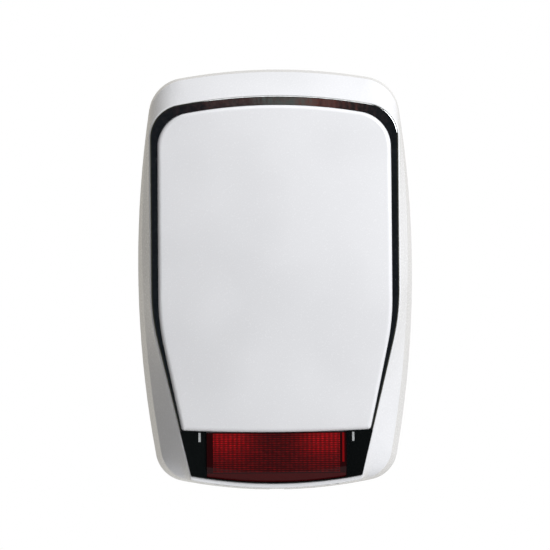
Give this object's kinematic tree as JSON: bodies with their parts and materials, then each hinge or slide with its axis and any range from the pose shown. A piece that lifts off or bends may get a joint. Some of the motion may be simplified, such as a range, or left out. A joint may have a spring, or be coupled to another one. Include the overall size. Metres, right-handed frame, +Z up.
{
  "type": "alarm siren",
  "caption": "Wall-mounted outdoor alarm siren box with a white hinged hood, chrome trim, crowned front panel and a red strobe lens at its foot.",
  "frame": {"origin": "centre of the wall-fixing pattern on the wall face", "axes": "+Z up the wall, the front faces -Y, +Y into the wall, +X to the right seen from the front"},
  "size_m": [0.1956, 0.085, 0.3],
  "materials": {
    "white_abs": "moulded gloss white ABS",
    "white_abs_base": "moulded satin white ABS",
    "chrome_plate": "bright chrome plating on ABS",
    "black_gloss_abs": "polished black ABS",
    "red_polycarbonate": "transparent red polycarbonate, ribbed inside",
    "black_rubber": "moulded black rubber",
    "zinc_screw": "zinc plated steel",
    "clear_acrylic": "clear acrylic, polished ends",
    "steel_rod": "drawn stainless steel",
    "brass": "turned brass",
    "circuit_board": "glass-epoxy board with green solder mask",
    "terminal_plastic": "moulded green nylon",
    "capacitor_can": "sleeved aluminium can",
    "ferrite": "pressed ferrite",
    "black_component": "moulded black epoxy",
    "tinned_metal": "tinned brass sheet",
    "fuse_glass": "glass tube with plated caps",
    "socket_plastic": "moulded natural nylon",
    "button_plastic": "moulded grey acetal",
    "battery_case": "moulded dark grey ABS",
    "black_horn_plastic": "moulded black ABS",
    "black_driver_can": "black painted steel can",
    "led_package": "white package with a clear dome",
    "reflector_plastic": "bright metallised ABS",
    "red_insulation": "red PVC insulation",
    "black_insulation": "black PVC insulation",
    "grey_insulation": "grey PVC sheath"
  },
  "bodies": {
    "base": {"base_plate": "white_abs_base", "cable_grommet": "black_rubber", "hinge_rod": "steel_rod", "screw_insert": "brass", "main_board": "circuit_board", "board_screws": "zinc_screw", "terminal_block": "terminal_plastic", "terminal_screws": "zinc_screw", "capacitors": "capacitor_can", "step_up_coil": "ferrite", "transistors": "black_component", "microcontroller": "black_component", "fuse_holder": "tinned_metal", "fuse": "fuse_glass", "lead_sockets": "socket_plastic", "cover_tamper_switch": "black_component", "cover_tamper_spring": "steel_rod", "wall_tamper_switch": "black_component", "wall_tamper_spring": "steel_rod", "battery": "battery_case", "battery_terminals": "tinned_metal", "battery_strap": "zinc_screw", "strap_screws": "zinc_screw", "siren_horn": "black_horn_plastic", "horn_screws": "zinc_screw", "siren_driver": "black_driver_can", "driver_cap": "ferrite", "strobe_board": "circuit_board", "strobe_screws": "zinc_screw", "strobe_leds": "led_package", "status_leds": "led_package", "strobe_reflector": "reflector_plastic", "battery_lead_red": "red_insulation", "battery_lead_black": "black_insulation", "siren_lead": "grey_insulation", "strobe_lead": "grey_insulation"},
    "cover": {"main_cover": "white_abs", "front_panel": "white_abs", "trim_band": "chrome_plate", "lower_bezel": "black_gloss_abs", "strobe_lens": "red_polycarbonate", "lens_seal": "black_rubber", "front_screws": "zinc_screw", "light_pipes": "clear_acrylic"},
    "cover_tamper_button": {"cover_tamper_button": "button_plastic"},
    "wall_tamper_plunger": {"wall_tamper_plunger": "button_plastic"},
    "cover_screw": {"cover_screw": "zinc_screw"},
    "screw_washer": {"screw_washer": "zinc_screw"}
  },
  "joints": [
    {"name": "cover_hinge", "type": "hinge", "parent": "base", "child": "cover", "pos_m": [0, -0.013, 0.1413], "axis": [-1, 0, 0], "range_deg": [0, 70]},
    {"name": "cover_tamper_press", "type": "slide", "parent": "base", "child": "cover_tamper_button", "axis": [0, 1, 0], "range_m": [0, 0.0012], "stiffness_N_per_m": 300, "deforming": ["cover_tamper_spring"]},
    {"name": "wall_tamper_press", "type": "slide", "parent": "base", "child": "wall_tamper_plunger", "axis": [0, 1, 0], "range_m": [0, 0.003], "stiffness_N_per_m": 150, "springref_m": 0.003, "deforming": ["wall_tamper_spring"]},
    {"name": "cover_screw_slide", "type": "slide", "parent": "base", "child": "screw_washer", "axis": [0, 0, -1], "range_m": [0, 0.0056]},
    {"name": "cover_screw_turn", "type": "hinge", "parent": "screw_washer", "child": "cover_screw", "pos_m": [0, -0.015, -0.1455], "axis": [0, 0, -1], "range_deg": [0, 2880]}
  ],
  "couplings": [
    {"joint": "cover_screw_turn", "follows": "cover_screw_slide", "rad_per_m": 8976}
  ]
}
